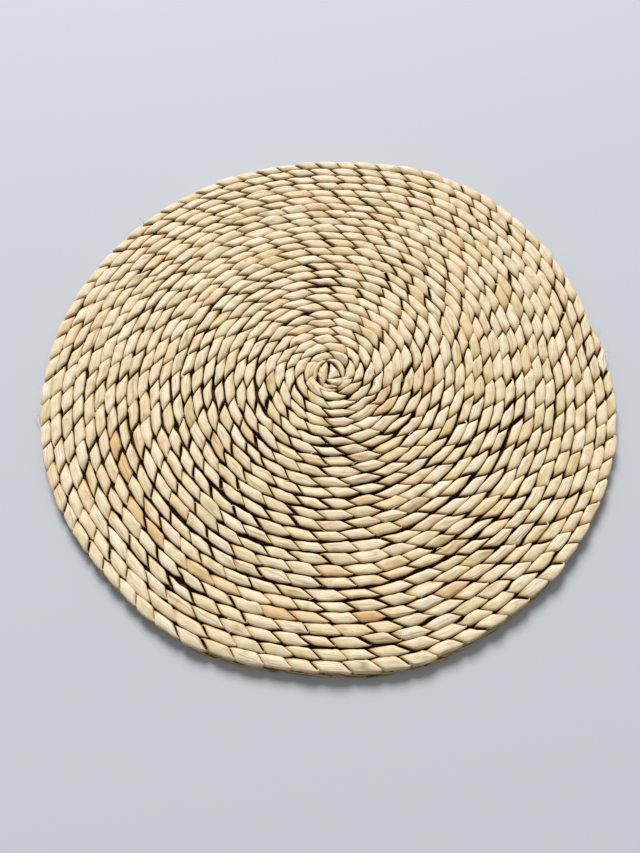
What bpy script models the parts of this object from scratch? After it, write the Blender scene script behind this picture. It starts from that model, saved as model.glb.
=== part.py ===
"""A round placemat: one long plait of dried leaf, set on edge and coiled into a flat disc.

The plait winds outwards counter-clockwise, seen from above, from a tight curl in
the middle to a tail that thins out along the right-hand rim. The solid has the
coil's rows as one spiral rib on its top, the uneven rim, and a flat underside.
Units are metres, +Z is up, and the origin is under the coil's middle.
"""
import math

import bmesh
import bpy
import numpy as np

MM = 0.001

# Driving sizes
ROWS = 28                       # turns of the groove between the rows, tail included
THICKNESS = 9.0 * MM            # the plait's height on edge, at its highest
GROOVE_HEIGHT = 6.0 * MM        # how high the grooves between the rows lie
STEPS = 54                      # steps in one turn
FIRST_TURN = 1.2                # the curl in the middle fills the turns before this one

# The tail tip, and how far before it the last row starts to thin
TAIL_TIP = math.radians(14.0)
TAIL_THINS = math.radians(12.0)

# The rim, counter-clockwise from the tail tip: (degrees from +X, radius in mm)
RIM = (
    (14, 183.2), (22, 185.6), (34, 189.2), (50, 193.2), (60, 194.2), (70, 191.2),
    (82, 187.6), (96, 187.8), (118, 190.2), (140, 191.0), (165, 192.8), (188, 193.7),
    (204, 192.4), (220, 189.5), (240, 191.4), (260, 187.8), (280, 190.6), (300, 188.2),
    (320, 188.7), (340, 188.4), (356, 186.8), (364, 185.6),
)

# The rib's section: where its two shoulders stand across a row, and how uneven its top is
SHOULDERS = (0.27, 0.73)
TOP_WAVE = 0.25 * MM
TOP_WAVE_TURNS = 2.37           # waves in one turn, so that no two rows match

# The rim's section, from the outermost groove line down to the floor
RIM_SWELL = 0.7 * MM
RIM_SWELL_HEIGHT = 3.4 * MM
FOOT_INSET = 1.3 * MM

# The curl in the middle: its top, and where its inner ring stands between middle and edge
CURL_HEIGHT = 8.6 * MM
CURL_RING = 0.55
CURL_MIDDLE = (1.2 * MM, -1.6 * MM)


def clear_scene():
    """Remove what the scene holds."""
    for thing in list(bpy.data.objects):
        bpy.data.objects.remove(thing, do_unlink=True)


def leaf_material(name, color, roughness):
    """Dried leaf: a plain matt surface."""
    material = bpy.data.materials.new(name)
    material.use_nodes = True
    shader = material.node_tree.nodes["Principled BSDF"]
    shader.inputs["Base Color"].default_value = (*color, 1.0)
    shader.inputs["Roughness"].default_value = roughness
    shader.inputs["Metallic"].default_value = 0.0
    return material


def smooth_around(knots, heights, at):
    """A closed smooth curve through knots in turns: cubic pieces with matched slopes."""
    before = np.roll(knots, 1) - (np.arange(len(knots)) == 0)
    after = np.roll(knots, -1) + (np.arange(len(knots)) == len(knots) - 1)
    slopes = (np.roll(heights, -1) - np.roll(heights, 1)) / (after - before)
    place = (at - knots[0]) % 1.0 + knots[0]
    left = np.searchsorted(knots, place, side="right") - 1
    right = (left + 1) % len(knots)
    span = after[left] - knots[left]
    t = (place - knots[left]) / span
    rise = 3 * t**2 - 2 * t**3
    return (
        heights[left] * (1 - rise)
        + heights[right] * rise
        + slopes[left] * span * (t**3 - 2 * t**2 + t)
        + slopes[right] * span * (t**3 - t**2)
    )


def bulge_around(turn, pitch):
    """How far the rim stands outside an even spiral, in the direction of this turn."""
    degrees, radius = np.array(RIM).T
    knots = degrees / 360.0 - TAIL_TIP / (2 * math.pi)
    rim = radius * MM - RIM_SWELL
    return smooth_around(knots, rim - pitch * (ROWS - 1 + knots), turn)


def groove_radius(turn, pitch):
    """The groove line: an even spiral whose outer turns take on the rim's bulges."""
    return pitch * turn + bulge_around(turn, pitch) * (turn / ROWS) ** 3


def groove_line():
    """Plan points along the groove. The last row's outer edge sinks into its inner one."""
    mean_rim = np.array(RIM)[:, 1].mean() * MM
    pitch = mean_rim / (ROWS - 0.5)
    turn = np.arange(round(FIRST_TURN * STEPS), ROWS * STEPS + 1) / STEPS
    radius = groove_radius(turn, pitch)
    left = (ROWS - turn) * 2 * math.pi / TAIL_THINS
    kept = np.clip(left, 0.0, 1.0) ** 0.8
    inner = groove_radius(turn - 1, pitch)
    radius = inner + (radius - inner) * kept
    angle = 2 * math.pi * turn + TAIL_TIP
    points = np.column_stack((radius * np.cos(angle), radius * np.sin(angle)))
    return turn, points


def at_height(plan, height):
    """Plan points lifted to a height, one for all or one for each."""
    return np.column_stack((plan, np.broadcast_to(height, len(plan))))


def coil_top():
    """Points and faces of the coil's top: grooves, the rib's two shoulders, and the curl."""
    turn, groove = groove_line()
    stations = len(groove) - STEPS          # the last one is the tail tip, a single point
    inner, outer = groove[:stations], groove[STEPS:]
    width = np.linalg.norm(outer - inner, axis=1)
    fullness = np.clip(width / width.max() * 1.6, 0.0, 1.0)
    wave = TOP_WAVE * np.sin(2 * math.pi * TOP_WAVE_TURNS * turn[:stations])
    rise = (THICKNESS - GROOVE_HEIGHT - TOP_WAVE + wave) * fullness
    crest = [
        at_height(inner + (outer - inner) * part, GROOVE_HEIGHT + rise)[:-1]
        for part in SHOULDERS
    ]
    grooves = at_height(groove[:-1], GROOVE_HEIGHT)
    points = np.vstack((grooves, *crest))
    first_shoulder = len(grooves)
    second_shoulder = first_shoulder + len(crest[0])
    tip = stations - 1

    def column(station):
        """The four points across the row at one station. At the tip they are one point."""
        if station == tip:
            return [tip] * 4
        shoulders = [first_shoulder + station, second_shoulder + station]
        return [station, *shoulders, station + STEPS]

    faces = []
    for station in range(tip):
        here, there = column(station), column(station + 1)
        for i in range(3):
            ring = [here[i], here[i + 1], there[i + 1], there[i]]
            faces.append(list(dict.fromkeys(ring)))
    mouth = list(range(STEPS + 1)) + column(0)[2:0:-1]
    return points, faces, mouth


def close_curl(points, faces, mouth):
    """Cover the middle, inside the first row, with a low dome."""
    middle = np.array((*CURL_MIDDLE, CURL_HEIGHT))
    edge = points[mouth]
    ring = middle + (edge - middle) * CURL_RING
    ring[:, 2] = CURL_HEIGHT
    first = len(points)
    centre = first + len(ring)
    points = np.vstack((points, ring, middle + (0, 0, THICKNESS - CURL_HEIGHT)))
    count = len(mouth)
    for i in range(count):
        after = (i + 1) % count
        faces.append([mouth[i], mouth[after], first + after, first + i])
        faces.append([first + i, first + after, centre])
    return points, faces


def extrude_rim(bm, outward, height):
    """Extrude the open edge and move it outwards, square to the middle, to a height."""
    rim = [edge for edge in bm.edges if edge.is_boundary]
    made = bmesh.ops.extrude_edge_only(bm, edges=rim)["geom"]
    for vert in (item for item in made if isinstance(item, bmesh.types.BMVert)):
        radius = math.hypot(vert.co.x, vert.co.y)
        vert.co.x *= 1 + outward / radius
        vert.co.y *= 1 + outward / radius
        vert.co.z = height


def plaited_coil():
    """The whole mat: the ribbed top, the swelling rim and the flat underside."""
    mesh = bpy.data.meshes.new("plaited_coil")
    points, faces = close_curl(*coil_top())
    mesh.from_pydata(points.tolist(), [], faces)
    bm = bmesh.new()
    bm.from_mesh(mesh)
    extrude_rim(bm, RIM_SWELL, RIM_SWELL_HEIGHT)
    extrude_rim(bm, -FOOT_INSET, 0.0)
    bmesh.ops.contextual_create(bm, geom=[edge for edge in bm.edges if edge.is_boundary])
    bmesh.ops.recalc_face_normals(bm, faces=bm.faces)
    bm.to_mesh(mesh)
    bm.free()
    mesh.shade_smooth()
    mesh.materials.append(leaf_material("dried_leaf", (0.62, 0.47, 0.26), 0.7))
    mat = bpy.data.objects.new("plaited_coil", mesh)
    bpy.context.scene.collection.objects.link(mat)
    return mat


clear_scene()
plaited_coil()
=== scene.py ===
"""The looks of a round placemat: a plait of dried leaf set on edge and coiled flat."""
import math
from types import SimpleNamespace

import bpy
import numpy as np
from mathutils import Matrix, Vector


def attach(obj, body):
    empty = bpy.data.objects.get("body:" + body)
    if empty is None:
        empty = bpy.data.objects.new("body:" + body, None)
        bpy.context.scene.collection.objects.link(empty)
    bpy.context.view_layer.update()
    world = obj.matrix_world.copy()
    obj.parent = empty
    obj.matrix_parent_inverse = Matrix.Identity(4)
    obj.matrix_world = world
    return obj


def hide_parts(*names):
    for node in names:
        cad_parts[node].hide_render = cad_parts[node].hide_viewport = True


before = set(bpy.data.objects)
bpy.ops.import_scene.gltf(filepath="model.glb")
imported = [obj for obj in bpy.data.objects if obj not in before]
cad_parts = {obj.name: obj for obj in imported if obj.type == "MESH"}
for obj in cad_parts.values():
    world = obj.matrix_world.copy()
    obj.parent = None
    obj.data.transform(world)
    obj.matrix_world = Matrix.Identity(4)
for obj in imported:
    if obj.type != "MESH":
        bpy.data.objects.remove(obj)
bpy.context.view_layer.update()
MM = 0.001

# The camera: a phone held over the mat, looking down at it from just past its near rim.
# The picture's right side is +X, and the phone is turned a little in the hand.
CAMERA_PLACE = Vector((-0.0082, -0.2194, 0.4171))
LOOK_DOWN = math.radians(66.03)
ROLL = math.radians(-3.75)
LENS = 29.2

ahead = Vector((0, math.cos(LOOK_DOWN), -math.sin(LOOK_DOWN)))
level_up = Vector((0, math.sin(LOOK_DOWN), math.cos(LOOK_DOWN)))
right = Vector((math.cos(ROLL), 0, 0)) + level_up * math.sin(ROLL)
up = level_up * math.cos(ROLL) - Vector((math.sin(ROLL), 0, 0))
camera = bpy.data.objects.new("phone", bpy.data.cameras.new("phone"))
camera.data.lens = LENS
camera.data.clip_start = 0.01
camera.matrix_world = (
    Matrix.Translation(CAMERA_PLACE) @ Matrix((right, up, -ahead)).transposed().to_4x4()
)
bpy.context.scene.collection.objects.link(camera)
bpy.context.scene.camera = camera
bpy.context.scene.view_settings.view_transform = "Standard"

# The rows: one plait of dried leaf, stood on edge and wound outwards from the middle,
# counter-clockwise from above, each turn sewn to the one inside it. Where the thread is
# slack the rows part and a dark slit shows between them.
ROWS = 28                            # turns of the coil, tail included
TAIL_TIP = math.radians(14.0)        # where the tail ends on the rim
TAIL_THINS = math.radians(12.0)      # how far before it the last row thins
TAIL_SHORT = math.radians(4.0)       # how far before it the last leaf's thin end stops
START_TURN = 0.74                    # where the plait comes out of the curl in the middle
PLAIT_HEIGHT = 9.0 * MM
CURL_PLACE = (2.2 * MM, 1.3 * MM)    # the inner turns' middle
CURL_PLACE_FADES = (6.0, 24.0)       # the turns over which it moves to the rim's middle
CURL_SPACE = 2.0 * MM                # how far the curl pushes the first turns outwards
CURL_SPACE_FADES = (1.2, 6.5)        # the turns over which that ends
WANDER = 0.60 * MM                   # how far the line between two rows strays
SLACK = 0.10 * MM                    # how far every lozenge stands off the next row

# The widest slits: (degrees from, degrees to, radius in mm, opening in mm)
SLITS = (
    (-4, 20, 26, 1.7), (18, 44, 19, 1.0), (36, 58, 28, 1.3), (60, 78, 21, 0.9),
    (98, 113, 34, 1.0), (114, 134, 25, 1.2), (162, 178, 30, 1.1), (186, 246, 24, 1.0),
    (250, 284, 25, 1.1), (303, 326, 36, 1.4), (328, 352, 31, 1.5), (292, 330, 20, 0.8),
    (98, 132, 53, 1.0), (134, 176, 51, 1.7), (178, 236, 50, 1.5), (236, 286, 54.5, 1.7),
    (286, 346, 63, 1.3), (242, 256, 46, 1.1), (284, 298, 51.5, 1.2), (342, 352, 48, 1.2),
    (-4, 20, 71.5, 0.9), (20, 33, 68.5, 1.0), (44, 63, 79, 1.7), (68, 87, 81, 0.9),
    (90, 106, 78.5, 1.4), (88, 112, 71.5, 1.1), (156, 212, 77.5, 1.1), (216, 242, 79, 1.2),
    (204, 243, 71.5, 1.0), (244, 300, 84, 1.7), (300, 340, 90, 1.6), (32, 60, 107, 1.1),
    (128, 159, 98.5, 1.3), (212, 246, 106, 1.3), (246, 271, 110.5, 1.0), (276, 320, 114.5, 1.2),
    (320, 357, 120, 1.1), (138, 178, 135, 1.1), (187, 199, 133, 1.3), (211, 241, 136, 1.5),
    (240, 256, 123, 1.4), (250, 326, 142, 1.4), (259, 278, 148, 1.1), (229, 242, 164.5, 1.4),
    (22, 34, 151, 1.0), (42, 55, 157, 0.9), (334, 356, 149.5, 1.1), (256, 280, 175.5, 0.8),
    (0.5, 3.6, 174.5, 2.6), (232, 235, 165.3, 2.6),
)


def ease(value, low, high):
    """0 below low, 1 above high, and a cubic ease curve between."""
    part = np.clip((value - low) / (high - low), 0, 1)
    return part * part * (3 - 2 * part)


NOISE_HEIGHTS = 8192                 # how many random heights a wandering line has


def smooth_noise(at, seed, octaves=1):
    """Smooth wandering between -1 and 1 along a line: random heights at whole numbers,
    joined by cubic ease curves, with finer and weaker copies added."""
    total = np.zeros_like(at, dtype=float)
    for octave in range(octaves):
        heights = np.random.default_rng(seed + octave).uniform(-1, 1, NOISE_HEIGHTS)
        place = at * 2.0**octave
        left = np.floor(place).astype(int)
        rise = ease(place - left, 0, 1)
        before, after = heights[left % NOISE_HEIGHTS], heights[(left + 1) % NOISE_HEIGHTS]
        total += (before * (1 - rise) + after * rise) / 2.0**octave
    return total


def rim_of_solid():
    """The solid's widest line as (turn after the tail tip, radius): its rim's middle ring."""
    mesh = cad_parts["plaited_coil"].data
    points = np.empty(len(mesh.vertices) * 3)
    mesh.vertices.foreach_get("co", points)
    points = points.reshape(-1, 3)
    band = points[(points[:, 2] > 1 * MM) & (points[:, 2] < 5 * MM)]
    turn = (np.arctan2(band[:, 1], band[:, 0]) - TAIL_TIP) / (2 * math.pi) % 1.0
    order = np.argsort(turn)
    turn, radius = turn[order], np.hypot(band[:, 0], band[:, 1])[order]
    whole = turn < 1 - TAIL_THINS / (2 * math.pi)
    return turn[whole], radius[whole]


rim_turn, rim_radius = rim_of_solid()
ROW_PITCH = rim_radius.mean() / (ROWS - 0.5)
rim_bulge = rim_radius - ROW_PITCH * (ROWS - 1 + rim_turn)


def edge_radius(turn):
    """The line between two rows: an even spiral that leaves room for the curl, whose outer
    turns take on the rim's bulges, by the cube of how far out they are, and which strays a
    little, in step with the lines on either side of it."""
    bulge = np.interp(turn % 1.0, rim_turn, rim_bulge, period=1.0)
    stray = np.zeros_like(turn)
    for wave in range(3, 27, 2):
        start = 2.5 * smooth_noise(turn / 3.0, 40 + wave)
        size = 0.6 + 0.4 * smooth_noise(turn / 2.0, 90 + wave)
        stray += size * np.sin(2 * math.pi * wave * turn + start + wave) / 3.4
    inside = ease(turn, 1.0, 6.0) * (1 - ease(turn, ROWS - 1.6, ROWS - 0.4))
    outward = (np.clip(turn, 0, ROWS) / ROWS) ** 3
    pushed = CURL_SPACE * (1 - ease(turn, *CURL_SPACE_FADES))
    return ROW_PITCH * turn + pushed + bulge * outward + WANDER * stray * inside


def row_centre(turn):
    """Where the rows' middle lies: the curl's place inside, the rim's middle outside."""
    part = 1 - ease(turn, *CURL_PLACE_FADES)
    return CURL_PLACE[0] * part, CURL_PLACE[1] * part


def nearest_turn(degrees, radius, line):
    """The turn at which a line of the coil comes nearest to a place, where the line is a
    function from turn to radius."""
    x, y = row_centre(np.array(radius / ROW_PITCH))
    toward = x * math.cos(math.radians(degrees)) + y * math.sin(math.radians(degrees))
    turns = (degrees - math.degrees(TAIL_TIP)) / 360 + np.arange(ROWS + 1)
    return turns[np.argmin(np.abs(line(turns) - (radius - toward)))]


def slit_opening(turn):
    """How far the rows stand apart along each line between them: a rounded hump over each
    slit's stretch, on the line that comes nearest to its radius."""
    opening = np.zeros_like(turn)
    for start, end, radius, width in SLITS:
        nearest = nearest_turn((start + end) / 2, radius * MM, edge_radius)
        reach = (end - start) / 720
        across = np.clip(1 - ((turn - nearest) / reach) ** 2, 0, 1)
        opening = np.maximum(opening, width * MM * across**0.7)
    return opening


# The row's middle line, with its length from the start and how full the plait is there.
ROW_SAMPLES = 90000
OUTER_LAG = 900                      # samples by which the outer edge's unevenness lags behind
turn = np.linspace(START_TURN, ROWS - 1, ROW_SAMPLES)
angle = 2 * math.pi * turn + TAIL_TIP
tail_left = (ROWS - 1 - turn) * 2 * math.pi - TAIL_SHORT
tail_left = np.clip(tail_left / (TAIL_THINS - TAIL_SHORT), 0, 1) ** 0.9
row_width = (edge_radius(turn + 1) - edge_radius(turn)) * tail_left
middle_radius = edge_radius(turn) + row_width / 2
steps = np.hypot(np.diff(middle_radius), np.diff(angle) * middle_radius[:-1])
length = np.concatenate(([0.0], np.cumsum(steps)))
fullness = tail_left * (0.3 + 0.7 * ease(length, 0, 9 * MM))

# The lower left and the near side are looser than the far side and the rim.
degrees = np.degrees(angle) % 360
loose_side = ease(degrees, 150, 215) * (1 - ease(degrees, 330, 360))
looseness = 0.20 * MM * loose_side * (1 - 0.8 * ease(turn, 23, 26))
uneven = 0.10 * MM * (1 + smooth_noise(length / (45 * MM), 61, 2))
ragged = [0.75 + 0.6 * smooth_noise(length / (8 * MM), seed) for seed in (67, 68)]
inner_slit = slit_opening(turn) * np.clip(ragged[0], 0.25, 1.3)
outer_slit = slit_opening(turn + 1) * np.clip(ragged[1], 0.25, 1.3)
inner_gap = SLACK + looseness + uneven + inner_slit / 2
outer_gap = SLACK + looseness + np.roll(uneven, OUTER_LAG) + outer_slit / 2

# The plait's pace: three strands come up in turn, one lozenge to each CREST_SPACING.
CREST_SPACING = 17.9 * MM
CREST_SPACING_LESS = 9.0 * MM        # how much shorter the lozenges get in the middle
TIGHT_RADIUS = 20.0 * MM             # over this radius the tight spacing gives way
RIM_SPACING_LESS = 2.0 * MM          # how much shorter they are in the outermost row
FIRST_PHASE = 1.26                   # the plait's phase at its start, which sets the tail's too
spacing = CREST_SPACING - CREST_SPACING_LESS * np.exp(-middle_radius / TIGHT_RADIUS)
spacing -= RIM_SPACING_LESS * ease(turn, ROWS - 2.6, ROWS - 1.9)
phase = np.concatenate(([0.0], np.cumsum(steps / (3 * spacing[:-1])))) * 2 * math.pi
phase += 0.45 * smooth_noise(length / (75 * MM), 11)
phase += 0.13 * smooth_noise(length / (24 * MM), 13) + FIRST_PHASE


def read(values, at):
    """Values along the row's middle line, read at places between its samples."""
    return np.interp(at, np.arange(len(values)), values)


def row_middle(turns):
    """The radius of the row's middle line at these turns, and 0 past its end."""
    return np.interp(turns, turn, middle_radius, right=0.0)


# The strands: three folded leaves, each over and under the other two. Each comes up on the
# row's inner side, crosses the top edge as one long lozenge and goes down on the outer
# side. Each leaf lasts for some 0.6 m of the row, and then the next one is laid in.
NOMINAL_WIDTH = 6.86 * MM            # the row's width that the section below is drawn for
LEAF_LENGTH = 0.62                   # how much of the row one leaf lasts for, in metres
RING = 14                            # points around a strand
SPLICE_TURN = 19.0                   # where each strand's inner length meets its outer one

# Where a strand's rings stand, in degrees of its phase: on the way up to the crest at 90,
# and the same mirrored on the way down, and then on its way underneath
TOP_STATIONS = (3, 9, 14, 20, 27, 34, 42, 51, 63, 76)
LOW_STATIONS = (188, 208, 232, 270, 308, 332, 352)

# A strand's section over a quarter of its way, from the plait's middle height to the crest:
# (degrees, inner edge, outer edge, height of its centre, half its height), in mm
SECTION = (
    (0, -2.2, 2.2, 0.0, 1.5),
    (5, -2.3, 0.4, 0.35, 1.6),
    (10, -2.6, -1.75, 0.7, 1.9),
    (14, -2.9, -1.75, 1.05, 2.1),
    (18, -3.1, -1.4, 1.2, 2.2),
    (22, -3.25, -0.95, 1.4, 2.2),
    (30, -3.45, -0.05, 1.7, 2.2),
    (37, -3.58, 0.8, 1.94, 2.15),
    (43, -3.66, 1.45, 2.12, 2.1),
    (50, -3.72, 2.2, 2.3, 2.05),
    (58, -3.75, 2.95, 2.44, 2.0),
    (64, -3.75, 3.4, 2.54, 1.95),
    (76, -3.7, 3.55, 2.58, 1.9),
    (90, -3.6, 3.6, 2.6, 1.9),
)
SNUG = 0.5                           # mm by which close rows press the lozenges' ends wider
SNUG_BELOW = 1.9                     # how snug they are underneath, where no gap is left
OPEN_GAP = 0.7 * MM                  # rows this far apart no longer press on each other
OVERLAP = 0.2                        # mm by which a leaf going down lies higher than the next
LOZENGE_DRAWS = 20000                # how many random values each kind of draw has
FOOT_LEAN = 1.9 * MM                 # how far the foot leans outwards on the near rim
NEAR_RIM = (225, 250, 295, 325)      # degrees over which that lean grows and fades
PAINTED_SHADE_FROM = 3.8 * MM                # how far from the plait's middle height the painted shade starts
PAINTED_SHADE_OVER = 2.8 * MM                # and over how much height that painted shade deepens
SHADIEST_END = math.radians(30)      # where on the mat the ends that come up get the most painted shade

# Lozenges that stand out: (degrees, radius in mm, tone, tint, torn). First the tan ones of
# the lower left, and then the tail's last four: olive, whitish and torn, crumpled, thin.
ODD_LOZENGES = (
    (199.5, 149.5, 0.14, 0.5, 0.0), (213.0, 152.5, 0.20, 0.5, 0.0), (219.0, 152.5, 0.16, 0.5, 0.0),
    (234.0, 155.0, 0.18, 0.5, 0.0), (241.0, 154.5, 0.25, 0.5, 0.0), (252.0, 157.0, 0.20, 0.5, 0.0),
    (260.0, 157.5, 0.24, 0.5, 0.1), (272.5, 159.5, 0.12, 0.5, 0.0), (292.0, 161.0, 0.20, 0.5, 0.1),
    (355.7, 185.0, 0.46, 0.0, 0.1), (0.5, 184.0, 0.98, 0.6, 0.75), (5.2, 182.6, 0.36, 1.0, 0.55),
    (9.4, 181.4, 1.0, 0.6, 0.6),
)


def strand_offset(number):
    """How far a strand is ahead of the plait's phase: a third of a period for each."""
    return 2 * math.pi * number / 3


def ring_phases(number, turn_from, turn_to):
    """The phases of a strand's rings between two turns: the same stations in every period,
    closest together at the lozenges' ends."""
    stations = np.radians(
        TOP_STATIONS + (90,) + tuple(180 - d for d in TOP_STATIONS[::-1]) + LOW_STATIONS
    )
    offset = strand_offset(number)
    periods = np.arange(int((phase[-1] + offset) / (2 * math.pi)) + 1)
    t = (periods[:, None] * 2 * math.pi + stations[None, :]).ravel()
    first, last = np.interp((turn_from, turn_to), turn, phase)
    return t[(t - offset >= first) & (t - offset <= last)]


def own_draws(t, number):
    """The draws that make no two lozenges alike, as one value for each ring: for the seam to
    the next lozenge, the free edge, the size and place, the leaf's ridge and creases, and
    its colour. On top, lozenges are numbered along the row, whichever strand they belong
    to, so that two neighbours share the draws for the seam between them."""
    half = np.floor(t / math.pi).astype(int)          # one number for each lozenge
    top = half % 2 == 0
    order = np.where(top, 3 * (half // 2) - number + 4, half + 3000 * (1 + number))
    falling = np.degrees(t) % 180 > 90
    seam = np.where(falling, order, order - 1)
    draw = np.random.default_rng(7)

    def spread(size):
        """Draws to either side of 0."""
        return draw.normal(0.0, size, LOZENGE_DRAWS)

    def share():
        """Draws from 0 to 1."""
        return draw.random(LOZENGE_DRAWS)

    return SimpleNamespace(
        top=top,
        crest=half * math.pi + math.pi / 2,
        shift=spread(5.0)[seam],
        slope=np.exp(spread(0.22)[seam]),
        parted=np.clip(spread(0.38)[seam] - 0.16, -0.8, 0.8),
        skew=spread(11.0)[2 * order + falling],
        fat=spread(0.17 * MM)[order],
        aside=spread(0.24 * MM)[order],
        lift=spread(0.20 * MM)[order],
        tilt=spread(0.30 * MM)[order],
        pitch=spread(0.22 * MM)[order],
        ridge_at=0.9 * (share()[order] - 0.5),
        ridge_high=0.42 * MM * share()[order] ** 1.5,
        crumpled=np.clip((share()[order] - 0.84) / 0.16, 0, 1),
        tone=spread(1.0)[order],
        tint=share()[order],
    )


def section_at(t, own, snug):
    """The section's edges, centre height and half height at a phase. The table's quarter is
    turned about the crest and put upside down for the strand's way underneath. The edge
    that faces the neighbouring lozenge moves along by shift, is steeper by slope and stands
    back by parted. The free edge is fullest earlier or later by skew, in degrees, and its
    ends are pressed wider by snug. Where two lozenges meet, the strand that goes down lies
    a little higher than the one that comes up."""
    turned = np.degrees(t) % 180
    falling = turned > 90
    quarter = np.where(falling, 180 - turned, turned)
    degrees, inner, outer, centre, tall = np.array(SECTION).T
    skewed = np.clip(quarter + own.skew * np.sin(2 * np.radians(quarter)), 0, 90)
    free = np.interp(skewed, degrees, inner) - SNUG * snug * (1 - ease(quarter, 10, 62))
    moved = quarter + np.where(falling, own.shift, -own.shift)
    moved = 30 + (moved - 30) * own.slope
    near_seam = ease(quarter, 2, 12) * (1 - ease(quarter, 50, 78))
    facing = np.interp(quarter + (moved - quarter) * near_seam, degrees, outer)
    facing = facing - own.parted * near_seam
    over = OVERLAP * ease(quarter, 8, 25) * (1 - ease(quarter, 40, 80))
    upright = np.sign(np.sin(t))
    return (
        np.where(falling, -facing, free) * MM,
        np.where(falling, -free, facing) * MM,
        upright * (np.interp(quarter, degrees, centre) + np.where(falling, over, -over)) * MM,
        np.interp(quarter, degrees, tall) * MM,
    )


def rounded_box(count, side_power, top_power):
    """Where the points of a ring stand across it and up it, from -1 to 1: a cosine and a
    sine, each pressed outwards by a power below 1."""
    beta = 2 * math.pi * np.arange(count) / count
    across = np.sign(np.cos(beta)) * np.abs(np.cos(beta)) ** side_power
    upward = np.sign(np.sin(beta)) * np.abs(np.sin(beta)) ** top_power
    return across, upward


def leaf_relief(t, own, across, upward):
    """What stands up from the section: a ridge, a bell curve across the leaf, and creases, a
    sine wave across it, both on the leaf's outer face, and the lozenge's own lift, tilt and
    pitch. All of it fades from the crest by the square of the phase's sine."""
    outer_face = np.clip(np.sign(np.sin(t))[:, None] * upward, 0, 1)
    lean = (own.ridge_at + 0.5 * np.cos(t))[:, None]
    ridge = np.exp(-(((across - lean) / 0.35) ** 2)) * outer_face
    wave = (4 * np.cos(t) + 9 * own.tint)[:, None]
    creases = np.sin(8 * across + wave) * outer_face
    relief = (
        own.ridge_high[:, None] * ridge
        + 0.30 * MM * own.crumpled[:, None] * creases
        + own.lift[:, None]
        + own.tilt[:, None] * across
        + (own.pitch * np.cos(t))[:, None]
    )
    return relief * np.abs(np.sin(t))[:, None] ** 2


def painted_shade_amount(t, at, own, height, open_here):
    """How much painted shade darkens the leaf, from 0 to 1: the more, the nearer it is to the
    plait's middle height, and the more where the rows stand apart. The end that comes up
    gets more painted shade than the one that goes down, most of all on the far right of the mat."""
    # painted shade: the leaf darkens towards the plait's middle height, where light hardly reaches
    tuck = np.clip((PAINTED_SHADE_FROM - np.abs(height)) / PAINTED_SHADE_OVER, 0, 1)
    tuck = tuck * (0.78 + 0.22 * open_here[:, None])
    turned = np.degrees(t) % 180
    coming_up = own.top & (turned < 90)
    # painted shade on the end that comes up, strongest towards the far right of the mat
    end_shade = 0.13 + 0.13 * np.cos(read(angle, at) - SHADIEST_END)
    tuck = tuck + (end_shade * coming_up * (1 - ease(turned, 20, 66)))[:, None]
    return np.clip(tuck, 0, 1)


def leaf_looks(number, along, own):
    """Tone, tint and tearing for each ring: the leaf's own tone and the lozenge's, and for
    the odd lozenges the ones that are given."""
    leaf_number = along / LEAF_LENGTH + 7.3 * number
    leaf_number += 0.35 * smooth_noise(along / 0.5, 300 + number)
    leaf_tone = np.random.default_rng(77).normal(0.0, 1.0, 400)[leaf_number.astype(int)]
    tone = 0.58 + 0.04 * leaf_tone + 0.05 * own.tone - 0.12 * (leaf_tone < -1.6)
    looks = (tone, own.tint, 0.55 * own.crumpled)
    crest_turn = np.interp(own.crest - strand_offset(number), phase, turn)
    for degrees, radius, *given in ODD_LOZENGES:
        place = nearest_turn(degrees, radius * MM, row_middle)
        reach = np.interp(place, turn, spacing) / (4 * math.pi * radius * MM)
        chosen = own.top & (np.abs(crest_turn - place) < reach)
        looks = [np.where(chosen, odd, usual) for odd, usual in zip(given, looks)]
    return looks


# What the leaf's material reads at every point of a piece, each from 0 to 1
LEAF_VALUES = ("tone", "tint", "worn", "foot", "tuck")


def leaf_values(shape, **given):
    """The leaf's values for every point, and 0 for those that aren't given."""
    return {name: np.broadcast_to(given.get(name, 0.0), shape) for name in LEAF_VALUES}


def leaning_foot(at, side, height):
    """Places across the row, and which of them are on the mat's outside. On the near rim the
    outermost row leans outwards: not at its inner edge or its top, and most at the outer
    edge of its foot, in proportion between."""
    degrees = np.degrees(read(angle, at))[:, None] % 360
    near = ease(degrees, *NEAR_RIM[:2]) * (1 - ease(degrees, *NEAR_RIM[2:]))
    outmost = ease(read(turn, at)[:, None], ROWS - 2.15, ROWS - 1.95)
    from_inside = np.clip(0.5 + side / NOMINAL_WIDTH, 0, 1)
    side = side + FOOT_LEAN * near * outmost * (1 - height / PLAIT_HEIGHT) * from_inside
    return side, outmost * (side > 1.5 * MM)


def on_the_coil(at, side, height):
    """Points in space from places along the row, outwards from its middle line and up."""
    reach = read(middle_radius, at)[:, None] + side
    x, y = row_centre(read(turn, at)[:, None])
    theta = read(angle, at)[:, None]
    return np.stack((x + reach * np.cos(theta), y + reach * np.sin(theta), height), axis=-1)


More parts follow.
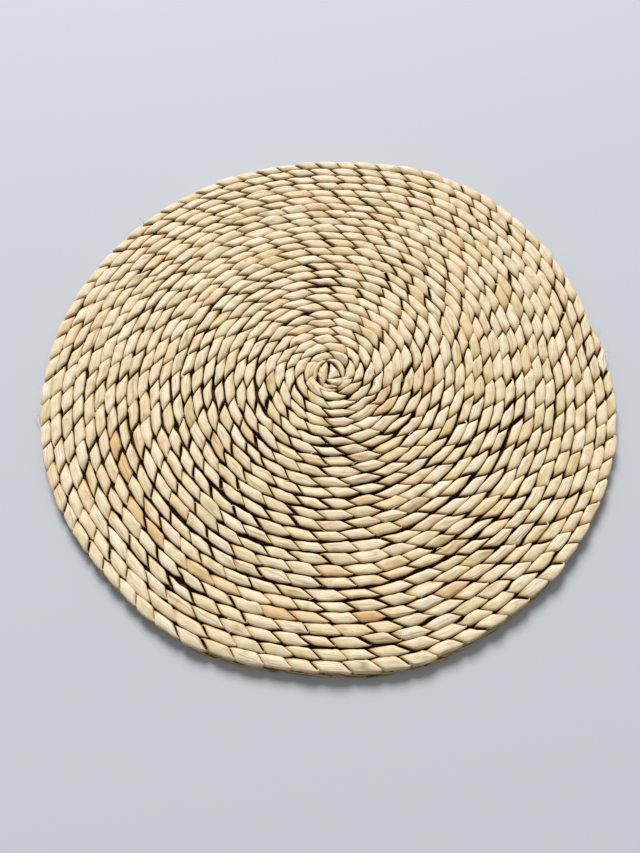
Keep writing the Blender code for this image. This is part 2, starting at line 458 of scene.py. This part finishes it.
def strand_rings(number, turn_from, turn_to):
    """One length of a strand, as rings of points, with the length along the row and the
    leaf's values. The rings follow the plait's phase, and each is a rounded box between the
    section's two edges, in the plane across the row: side is measured from the row's middle
    line outwards, and height from the plait's middle height, until it is put on the floor."""
    t = ring_phases(number, turn_from, turn_to)
    at = np.interp(t - strand_offset(number), phase, np.arange(len(phase)))
    along = read(length, at)
    own = own_draws(t, number)
    inner_room, outer_room = read(inner_gap, at), read(outer_gap, at)
    open_here = np.clip((inner_room + outer_room) / OPEN_GAP, 0, 1)
    snug = np.where(own.top, 1 - open_here, SNUG_BELOW)
    inner, outer, centre, tall = section_at(t, own, snug)
    swell = np.abs(np.sin(t))
    size = read(row_width, at) / NOMINAL_WIDTH
    rough = [0.15 * MM * smooth_noise(along / (5 * MM), 500 + 10 * number + k, 2) for k in (0, 5)]
    inner = (inner - (own.fat - own.aside + rough[0]) * swell) * size
    outer = (outer + (own.fat + own.aside + rough[1]) * swell) * size
    wide = np.maximum((outer - inner) / 2, 0.12 * MM)[:, None]
    middle = ((outer + inner) / 2)[:, None]

    across, upward = rounded_box(RING, 0.78, 0.68)
    relief = np.sign(np.sin(t))[:, None] * leaf_relief(t, own, across, upward)
    height = centre[:, None] + tall[:, None] * upward + relief
    height = height * (0.35 + 0.65 * read(fullness, at)[:, None])

    # the rows part at the top only: lower down the leaves still press together
    parting = ease(height, -1.0 * MM, 2.4 * MM) * size[:, None]
    toward_outer = (1 + across) / 2
    side = middle + wide * across + parting * (
        inner_room[:, None] * (1 - toward_outer) - outer_room[:, None] * toward_outer
    )
    # painted shade for the leaf's colour, deepest low in the plait and where the rows part
    tuck = painted_shade_amount(t, at, own, height, open_here)
    height = np.clip(PLAIT_HEIGHT / 2 + height, 0.0, PLAIT_HEIGHT + 0.4 * MM)

    # the rim's outer side is in the light: less painted shade, and strips with painted shade between
    # them
    side, outside = leaning_foot(at, side, height)
    # painted shade: less on the rim's outer side, and less on the tail as it thins
    tuck = tuck * (1 - 0.8 * outside) * read(tail_left, at)[:, None]
    foot = 0.9 * outside * (1 - ease(height, 4.2 * MM, 6.8 * MM))

    tone, tint, torn = (look[:, None] for look in leaf_looks(number, along, own))
    worn = torn * swell[:, None]
    values = leaf_values(height.shape, tone=tone, tint=tint, worn=worn, foot=foot, tuck=tuck)
    return on_the_coil(at, side, height), along, values


LEAF_GIRTH = 20 * MM                 # what a tube measures around, for the leaf's patterns


def tube_mesh(name, points, along, values):
    """Join rings of points into closed tubes with flat caps. The points are by tube, ring,
    place around and axis, and a ring runs clockwise for someone who looks along the tube.
    The UV map is in metres, along a tube and around it, and each set of values is a point
    attribute."""
    tubes, rings, count = points.shape[:3]
    grid = np.meshgrid(np.arange(tubes), np.arange(rings - 1), np.arange(count), indexing="ij")
    tube, ring, spoke = (part.ravel() for part in grid)
    after = (spoke + 1) % count
    first = (tube * rings + ring) * count
    faces = np.stack(
        (first + spoke, first + count + spoke, first + count + after, first + after), axis=-1
    )
    mesh = bpy.data.meshes.new(name)
    ends = np.arange(tubes)[:, None] * rings * count + np.arange(count)
    caps = ends.tolist() + (ends[:, ::-1] + (rings - 1) * count).tolist()
    mesh.from_pydata(points.reshape(-1, 3), [], faces.tolist() + caps)
    around = np.arange(count + 1) * LEAF_GIRTH / count
    uv = np.zeros((len(mesh.loops), 2))
    quads = len(faces) * 4
    ring_corners = np.stack((ring, ring + 1, ring + 1, ring), axis=-1)
    uv[:quads, 0] = along[tube[:, None], ring_corners].ravel()
    uv[:quads, 1] = around[np.stack((spoke, spoke, spoke + 1, spoke + 1), axis=-1)].ravel()
    layer = mesh.uv_layers.new(name="leaf")
    layer.data.foreach_set("uv", uv.ravel())
    for label, numbers in values.items():
        made = mesh.attributes.new(label, "FLOAT", "POINT")
        made.data.foreach_set("value", np.ascontiguousarray(numbers, dtype=float).ravel())
    mesh.shade_smooth()
    piece = bpy.data.objects.new(name, mesh)
    bpy.context.scene.collection.objects.link(piece)
    return piece


def linear(hex_color):
    """An sRGB hex colour as linear values with alpha."""
    parts = [int(hex_color[i:i + 2], 16) / 255 for i in (1, 3, 5)]
    return tuple(
        c / 12.92 if c <= 0.04045 else ((c + 0.055) / 1.055) ** 2.4 for c in parts
    ) + (1.0,)


def node(tree, kind, settings=None, **inputs):
    """Add a node, set its properties and fill or link its inputs. An input's name has
    underscores for spaces, or is i and a number for a socket's place. A colour ramp's
    setting "stops" is a row of (place, hex colour)."""
    made = tree.nodes.new(kind)
    for key, value in (settings or {}).items():
        if key != "stops":
            setattr(made, key, value)
            continue
        elements = made.color_ramp.elements
        while len(elements) < len(value):
            elements.new(0.5)
        for element, (place, color) in zip(elements, value):
            element.position = place
            element.color = linear(color)
    for key, value in inputs.items():
        numbered = key[0] == "i" and key[1:].isdigit()
        socket = made.inputs[int(key[1:]) if numbered else key.replace("_", " ")]
        if isinstance(value, bpy.types.NodeSocket):
            tree.links.new(value, socket)
        else:
            socket.default_value = value
    return made


# What lies over the leaf's own colour: (what drives it, how it blends, how much, stops).
# How much is a number or an attribute's name.
LEAF_LAYERS = (
    ("tint", "MULTIPLY", 1.0, (
        (0.0, "#F1F1E2"), (0.12, "#FBFAF5"), (0.6, "#FFFFFF"), (1.0, "#FFF5EF"))),
    ("veins", "MULTIPLY", 0.6, ((0.25, "#D8C7A6"), (0.5, "#FFFFFF"), (0.8, "#FFFDF6"))),
    ("stains", "MULTIPLY", 0.6, ((0.26, "#C9B48F"), (0.42, "#F2EAD8"), (0.55, "#FFFFFF"))),
    ("specks", "MULTIPLY", 0.7, ((0.72, "#FFFFFF"), (0.80, "#8A6A45"))),
    ("folds", "MULTIPLY", 0.55, ((0.590, "#FFFFFF"), (0.614, "#927653"), (0.630, "#FFFFFF"))),
    ("fibres", "MIX", "worn", ((0.36, "#8F7757"), (0.48, "#D6C6A4"), (0.60, "#F4EFE4"))),
    # strips at the rim's foot: pale leaf, with painted shade in the dark slits between the strips
    ("strips_and_slit_shade", "MIX", "foot", ((0.42, "#3C2F22"), (0.47, "#9C8462"), (0.57, "#D2C19F"))),
    # painted shade: darkens the leaf towards dark brown where light hardly reaches
    ("tuck", "MULTIPLY", 1.0, (
        (0.0, "#FFFFFF"), (0.12, "#F1E7D3"), (0.4, "#A88F6C"), (0.75, "#69553E"), (1.0, "#463726"))),
)

# Patterns along and across the leaf: (name, to the metre along, to the metre across, detail).
# Veins are about 0.3 mm apart and drawn at 0.9 mm so that they show, and the torn fibres
# of worn leaf at 0.6 mm. Stains are some 8 mm long, and specks about 1 mm. The strips that
# show at the rim's foot are about 2 mm wide, with painted shade in the dark slits between
# them. The folds are fine lines that run along the leaf, some 5 mm apart.
LEAF_PATTERNS = (
    ("veins", 70, 1100, 3.0), ("stains", 110, 260, 2.0), ("specks", 420, 1300, 1.0),
    ("fibres", 90, 1700, 2.0), ("strips_and_slit_shade", 60, 520, 1.0), ("folds", 9, 200, 0.0),
)


def dried_leaf():
    """Dried leaf, folded and plaited while damp: each fold its own straw, cream or tan, with
    drawn-out veins, a few brown specks, and a dry skin with a soft, broad shine. Deep in
    the plait its colour is darkened to brown by painted shade, where light hardly reaches."""
    material = bpy.data.materials.new("dried_leaf_plaited")
    material.use_nodes = True
    tree = material.node_tree
    shader = tree.nodes["Principled BSDF"]
    uv = node(tree, "ShaderNodeUVMap", {"uv_map": "leaf"}).outputs["UV"]
    drive = {
        name: node(tree, "ShaderNodeAttribute", {"attribute_name": name}).outputs["Fac"]
        for name in LEAF_VALUES
    }
    for name, along, across, detail in LEAF_PATTERNS:
        place = node(tree, "ShaderNodeMapping", Vector=uv, Scale=(along, across, 1)).outputs[0]
        noise = node(tree, "ShaderNodeTexNoise", Vector=place, Scale=1.0, Detail=detail)
        drive[name] = noise.outputs[0]
    color = node(tree, "ShaderNodeValToRGB", {"stops": (
        (0.0, "#C9A275"), (0.18, "#D8BB90"), (0.38, "#DECCA9"), (0.62, "#E3D6BC"), (1.0, "#ECE6D8"),
    )}, Fac=drive["tone"]).outputs[0]
    for name, blend, share, stops in LEAF_LAYERS:
        over = node(tree, "ShaderNodeValToRGB", {"stops": stops}, Fac=drive[name]).outputs[0]
        kind = {"data_type": "RGBA", "blend_type": blend}
        part = drive[share] if share in drive else share
        color = node(tree, "ShaderNodeMix", kind, i0=part, i6=color, i7=over).outputs[2]
    tree.links.new(color, shader.inputs["Base Color"])
    bump = node(tree, "ShaderNodeBump", Height=drive["veins"], Strength=0.4, Distance=0.0003)
    tree.links.new(bump.outputs[0], shader.inputs["Normal"])
    shader.inputs["Roughness"].default_value = 0.6
    shader.inputs["Specular IOR Level"].default_value = 0.2
    return material


def splice_turn(number):
    """The turn, close to SPLICE_TURN, at which a strand is lowest and its splice is hidden."""
    lowest = math.radians(275) - strand_offset(number)
    lap = round((np.interp(SPLICE_TURN, turn, phase) - lowest) / (2 * math.pi))
    return np.interp(lowest + lap * 2 * math.pi, phase, turn)


leaf = dried_leaf()
for number in range(3):
    splice = splice_turn(number)
    tail_end = ROWS - 1 - TAIL_SHORT / (2 * math.pi)
    lengths = (("inner", START_TURN, splice), ("outer", splice - 0.002, tail_end))
    for label, turn_from, turn_to in lengths:
        points, along, values = strand_rings(number, turn_from, turn_to)
        strand = tube_mesh(f"strand_{number + 1}_{label}", points[None], along[None], values)
        strand.data.materials.append(leaf)
        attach(strand, "root")
        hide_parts("plaited_coil")

# The curl in the middle: the ends of the first leaves, folded on edge round each other and
# held by the first turn. A crisp fold stands in the middle, a crumpled one on its left.
# Each flap: (tone, tint, torn, depth of its creases in mm) and the rows of its path:
# (x and y from the curl's place, height of its top, half its width at the top), in mm
CURL_FLAPS = {
    "curl_flap_middle": (
        (0.72, 0.45, 0.05, 0.16),
        ((-0.5, 6.8, 8.2, 0.3), (0.5, 3.6, 9.1, 1.7), (1.2, 0.6, 9.3, 2.9),
         (1.2, -1.8, 9.2, 3.6), (1.2, -3.6, 8.8, 3.8)),
    ),
    "curl_flap_crumpled": (
        (0.40, 1.0, 0.40, 0.55),
        ((-3.0, 8.2, 7.6, 0.8), (-4.9, 5.0, 8.5, 2.3), (-6.1, 0.6, 8.8, 3.1),
         (-6.6, -4.0, 8.5, 2.6), (-6.2, -8.6, 7.2, 0.9)),
    ),
    "curl_flap_right": (
        (0.62, 0.5, 0.05, 0.10),
        ((-2.8, 9.8, 7.4, 0.5), (1.7, 9.1, 8.7, 1.6), (5.2, 5.9, 9.0, 2.0),
         (6.8, 1.4, 8.9, 1.8), (7.2, -3.6, 7.8, 0.7)),
    ),
    "curl_flap_left": (
        (0.50, 0.9, 0.10, 0.15),
        ((-2.6, 9.8, 7.2, 0.5), (-7.0, 8.3, 8.5, 1.4), (-10.2, 4.4, 8.8, 1.7),
         (-11.6, -0.4, 8.5, 1.6), (-11.8, -4.8, 7.0, 0.6)),
    ),
    "curl_flap_near": (
        (0.52, 0.95, 0.15, 0.24),
        ((-3.9, -5.0, 7.8, 0.6), (0.0, -6.3, 8.9, 2.2), (4.4, -6.8, 9.1, 2.7),
         (8.8, -5.4, 9.0, 2.2), (12.0, -1.6, 8.0, 0.7)),
    ),
    "curl_flap_under": (
        (0.16, 0.9, 0.60, 0.35),
        ((-8.4, -4.6, 6.6, 0.9), (-6.4, -8.2, 7.6, 1.7), (-3.0, -9.9, 7.9, 1.9),
         (1.0, -10.2, 7.7, 1.6), (5.2, -10.0, 6.6, 0.8)),
    ),
    "curl_flap_low": (
        (0.48, 0.9, 0.30, 0.25),
        ((-11.2, -5.4, 7.2, 0.6), (-9.4, -9.2, 8.4, 1.4), (-5.8, -12.0, 8.7, 1.6),
         (-1.6, -13.2, 8.4, 1.4), (2.6, -12.8, 7.0, 0.5)),
    ),
}
FLAP_STEPS = 44                      # rings along a flap
FLAP_RING = 26                       # points around it
FLAP_SPREAD = 0.5                    # how much wider than its top each flap is at the floor


def flap_rings(look, rows):
    """A folded leaf end on edge: a rounded box that stands on the floor, carried along a
    smooth path, wider below than at its top, with wavy creases on the top."""
    tone, tint, torn, depth = look
    x, y, top, wide = np.array(rows).T * MM
    knots = np.linspace(0, 1, len(rows))
    at = np.linspace(0, 1, FLAP_STEPS)
    powers = np.vander(knots, len(rows))
    x, y, top, wide = (
        np.polyval(np.linalg.solve(powers, values), at) for values in (x, y, top, wide)
    )
    wide = np.maximum(wide, 0.15 * MM)
    forward = np.stack((np.gradient(x), np.gradient(y)), axis=-1)
    forward /= np.linalg.norm(forward, axis=1)[:, None]
    across, upward = rounded_box(FLAP_RING, 0.85, 0.5)
    slanted = at[:, None] * 9 + across[None, :] * 2.3
    crossed = at[:, None] * 6 - across[None, :] * 3.1
    seed = round(100 * tone)
    crease = smooth_noise(slanted, 70 + seed, 2)
    crease += 1 - 2 * np.abs(smooth_noise(crossed, 80 + seed))
    edge = smooth_noise(at * 8, 90 + seed, 2)[:, None] * np.abs(across)
    side = wide[:, None] * across * (1 + FLAP_SPREAD * (1 - upward) / 2)
    side = side + depth * MM * 0.8 * edge
    height = top[:, None] * (1 + upward) / 2
    height = height + depth * MM * crease * np.clip(upward, 0, 1)
    points = np.stack(
        (CURL_PLACE[0] + x[:, None] + forward[:, 1:] * side,
         CURL_PLACE[1] + y[:, None] - forward[:, :1] * side, height), axis=-1
    )
    # painted shade: each flap's colour darkens lower down, except right over the floor
    tuck = np.clip((8.1 * MM - height) / (2.6 * MM), 0, 1) * ease(height, 0.2 * MM, 2 * MM)
    values = leaf_values(height.shape, tone=tone, tint=tint, worn=torn, tuck=tuck)
    along = np.concatenate(([0], np.cumsum(np.hypot(np.diff(x), np.diff(y)))))
    return points[None], along[None], values


for name, (look, rows) in CURL_FLAPS.items():
    flap = tube_mesh(name, *flap_rings(look, rows))
    flap.data.materials.append(leaf)
    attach(flap, "root")
    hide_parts("plaited_coil")

# The loose fibres: fine hairs torn from the leaves' edges. A few long ones stand out at the
# rim and the tail, short ones at the near rim's foot, and slivers lie along the seams.
FIBRE_STEPS = 6                      # rings along a hair
FOOT_FIBRES = 70                     # short hairs at the near rim's foot
SEAM_FIBRES = 60                     # slivers along the lines between the rows

# The longest hairs: (x, y, z) of the root, the bend and the tip, in mm
LONG_FIBRES = (
    ((-129.5, 137.7, 8.0), (-132.0, 140.6, 10.5), (-133.6, 142.2, 12.0)),
    ((-187.9, -22.1, 6.0), (-205.0, -13.0, 2.0), (-193.7, -6.1, 3.0)),
    ((182.6, 17.2, 7.0), (183.6, 19.6, 8.0), (185.4, 20.6, 9.0)),
    ((183.6, 15.0, 6.0), (185.4, 17.0, 8.5), (186.0, 19.6, 9.5)),
    ((186.0, 8.8, 7.0), (187.6, 6.6, 8.0), (189.6, 6.9, 8.0)),
    ((186.2, 5.4, 6.0), (188.2, 5.6, 7.0), (190.2, 3.4, 6.0)),
    ((186.6, 1.0, 6.0), (188.0, 3.4, 6.0), (188.6, 6.0, 5.0)),
    ((-9.2, -188.2, 4.0), (-9.2, -190.0, 4.6), (-10.6, -191.8, 4.6)),
    ((-8.2, -188.2, 4.0), (-8.6, -190.0, 4.6), (-7.8, -191.2, 4.4)),
    ((33.0, -125.9, 8.0), (33.2, -125.4, 9.6), (33.8, -124.9, 10.6)),
)


def around_mat(turns, radius, height):
    """Points at turns after the tail tip, at a radius and a height: by point and axis."""
    theta = 2 * math.pi * turns + TAIL_TIP
    return np.stack((radius * np.cos(theta), radius * np.sin(theta), height), axis=-1)


def short_fibres():
    """Roots, bends and tips of the short hairs, drawn at random: some from the near rim's
    foot outwards, and some that lie along the lines between the rows."""
    draw = np.random.default_rng(21)

    def spread(low, high, count):
        """Draws from low to high, both in mm."""
        return draw.uniform(low, high, count) * MM

    turns = draw.uniform(0.5, 0.95, FOOT_FIBRES)
    rim = np.interp(turns, rim_turn, rim_radius)
    height = spread(0.8, 5.5, FOOT_FIBRES)
    swing = draw.normal(0, 0.0016, FOOT_FIBRES)
    foot = (
        around_mat(turns, rim - 0.6 * MM, height),
        around_mat(turns + swing, rim + spread(0.2, 1.2, FOOT_FIBRES), height),
        around_mat(turns + 2 * swing, rim + spread(0.3, 2.4, FOOT_FIBRES), height * 0.7),
    )
    turns = draw.uniform(1.5, ROWS - 1.5, SEAM_FIBRES)
    radius = edge_radius(turns)
    swing = spread(1.0, 2.6, SEAM_FIBRES) * draw.choice((-1, 1), SEAM_FIBRES) / radius
    swing /= 2 * math.pi
    level = np.ones(SEAM_FIBRES) * MM
    seams = (
        around_mat(turns, radius, 7.6 * level),
        around_mat(turns + swing, radius + spread(-1.2, 1.2, SEAM_FIBRES), 9.6 * level),
        around_mat(turns + 2 * swing, radius + spread(-2.0, 2.0, SEAM_FIBRES), 9.2 * level),
    )
    x, y = row_centre(turns)
    shift = np.stack((x, y, 0 * x), axis=-1)
    return [np.concatenate((ends, line + shift)) for ends, line in zip(foot, seams)]


def fibre_rings():
    """Thin square tubes that taper, each along a curve that leaves its root towards the bend
    and reaches the tip: the three places, weighed by the square of what is left of the way,
    by twice that times the way gone, and by the square of the way gone."""
    long_ones = np.array(LONG_FIBRES).transpose(1, 0, 2) * MM
    root, bend, tip = np.concatenate((long_ones, np.array(short_fibres())), axis=1)[:, :, None]
    u = np.linspace(0, 1, FIBRE_STEPS)[None, :, None]
    path = (1 - u) ** 2 * root + 2 * u * (1 - u) * bend + u**2 * tip
    forward = np.gradient(path, axis=1)
    forward /= np.linalg.norm(forward, axis=2, keepdims=True)
    side = np.cross(forward, (0.05, 0.08, 1.0))
    side /= np.linalg.norm(side, axis=2, keepdims=True)
    above = np.cross(side, forward)
    draw = np.random.default_rng(22)
    thick = draw.uniform(0.2, 0.34, len(root))[:, None, None] * MM * (1 - 0.8 * u)
    corner = 2 * math.pi * (np.arange(4) + 0.5) / 4
    offset = (
        np.cos(corner)[:, None] * side[:, :, None] + np.sin(corner)[:, None] * above[:, :, None]
    )
    points = path[:, :, None] + thick[..., None] * offset
    steps_along = np.linalg.norm(np.diff(path, axis=1), axis=2)
    along = np.concatenate((np.zeros((len(root), 1)), np.cumsum(steps_along, axis=1)), axis=1)
    tone = draw.uniform(0.5, 1.0, len(root))[:, None, None]
    return points, along, leaf_values(points.shape[:3], tone=tone, tint=0.5)


fibres = tube_mesh("loose_fibres", *fibre_rings())
fibres.data.materials.append(leaf)
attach(fibres, "root")
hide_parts("plaited_coil")

# The floor and the light: a plain pale floor, a broad soft light from beyond the mat,
# as from a window there, and a weak even light all round.
FLOOR_WIDTH = 6.0
FLOOR_LEVEL = -0.1 * MM              # a hair under the leaves, which end level with 0
floor_mesh = bpy.data.meshes.new("floor")
corners = [
    (x * FLOOR_WIDTH / 2, y * FLOOR_WIDTH / 2, FLOOR_LEVEL)
    for x, y in ((-1, -1), (1, -1), (1, 1), (-1, 1))
]
floor_mesh.from_pydata(corners, [], [(0, 1, 2, 3)])
floor = bpy.data.objects.new("floor", floor_mesh)
floor_paint = bpy.data.materials.new("pale_matt_floor")
floor_paint.use_nodes = True
floor_shader = floor_paint.node_tree.nodes["Principled BSDF"]
floor_shader.inputs["Base Color"].default_value = linear("#B9BCC2")
floor_shader.inputs["Roughness"].default_value = 0.9
floor_mesh.materials.append(floor_paint)
bpy.context.scene.collection.objects.link(floor)


def soft_light(name, place, aim, width, watts, color):
    """A square area light at a place, turned to shine at a point."""
    data = bpy.data.lights.new(name, "AREA")
    data.size = width
    data.energy = watts
    data.color = linear(color)[:3]
    lamp = bpy.data.objects.new(name, data)
    lamp.location = place
    lamp.rotation_euler = (Vector(aim) - Vector(place)).to_track_quat("-Z", "Y").to_euler()
    bpy.context.scene.collection.objects.link(lamp)


soft_light("window", (-0.5, 4.5, 4.3), (0, 0, 0), 2.3, 527, "#FFFFFF")
world = bpy.data.worlds.new("studio")
world.use_nodes = True
world.node_tree.nodes["Background"].inputs["Color"].default_value = linear("#F4F4F2")
world.node_tree.nodes["Background"].inputs["Strength"].default_value = 0.37
bpy.context.scene.world = world
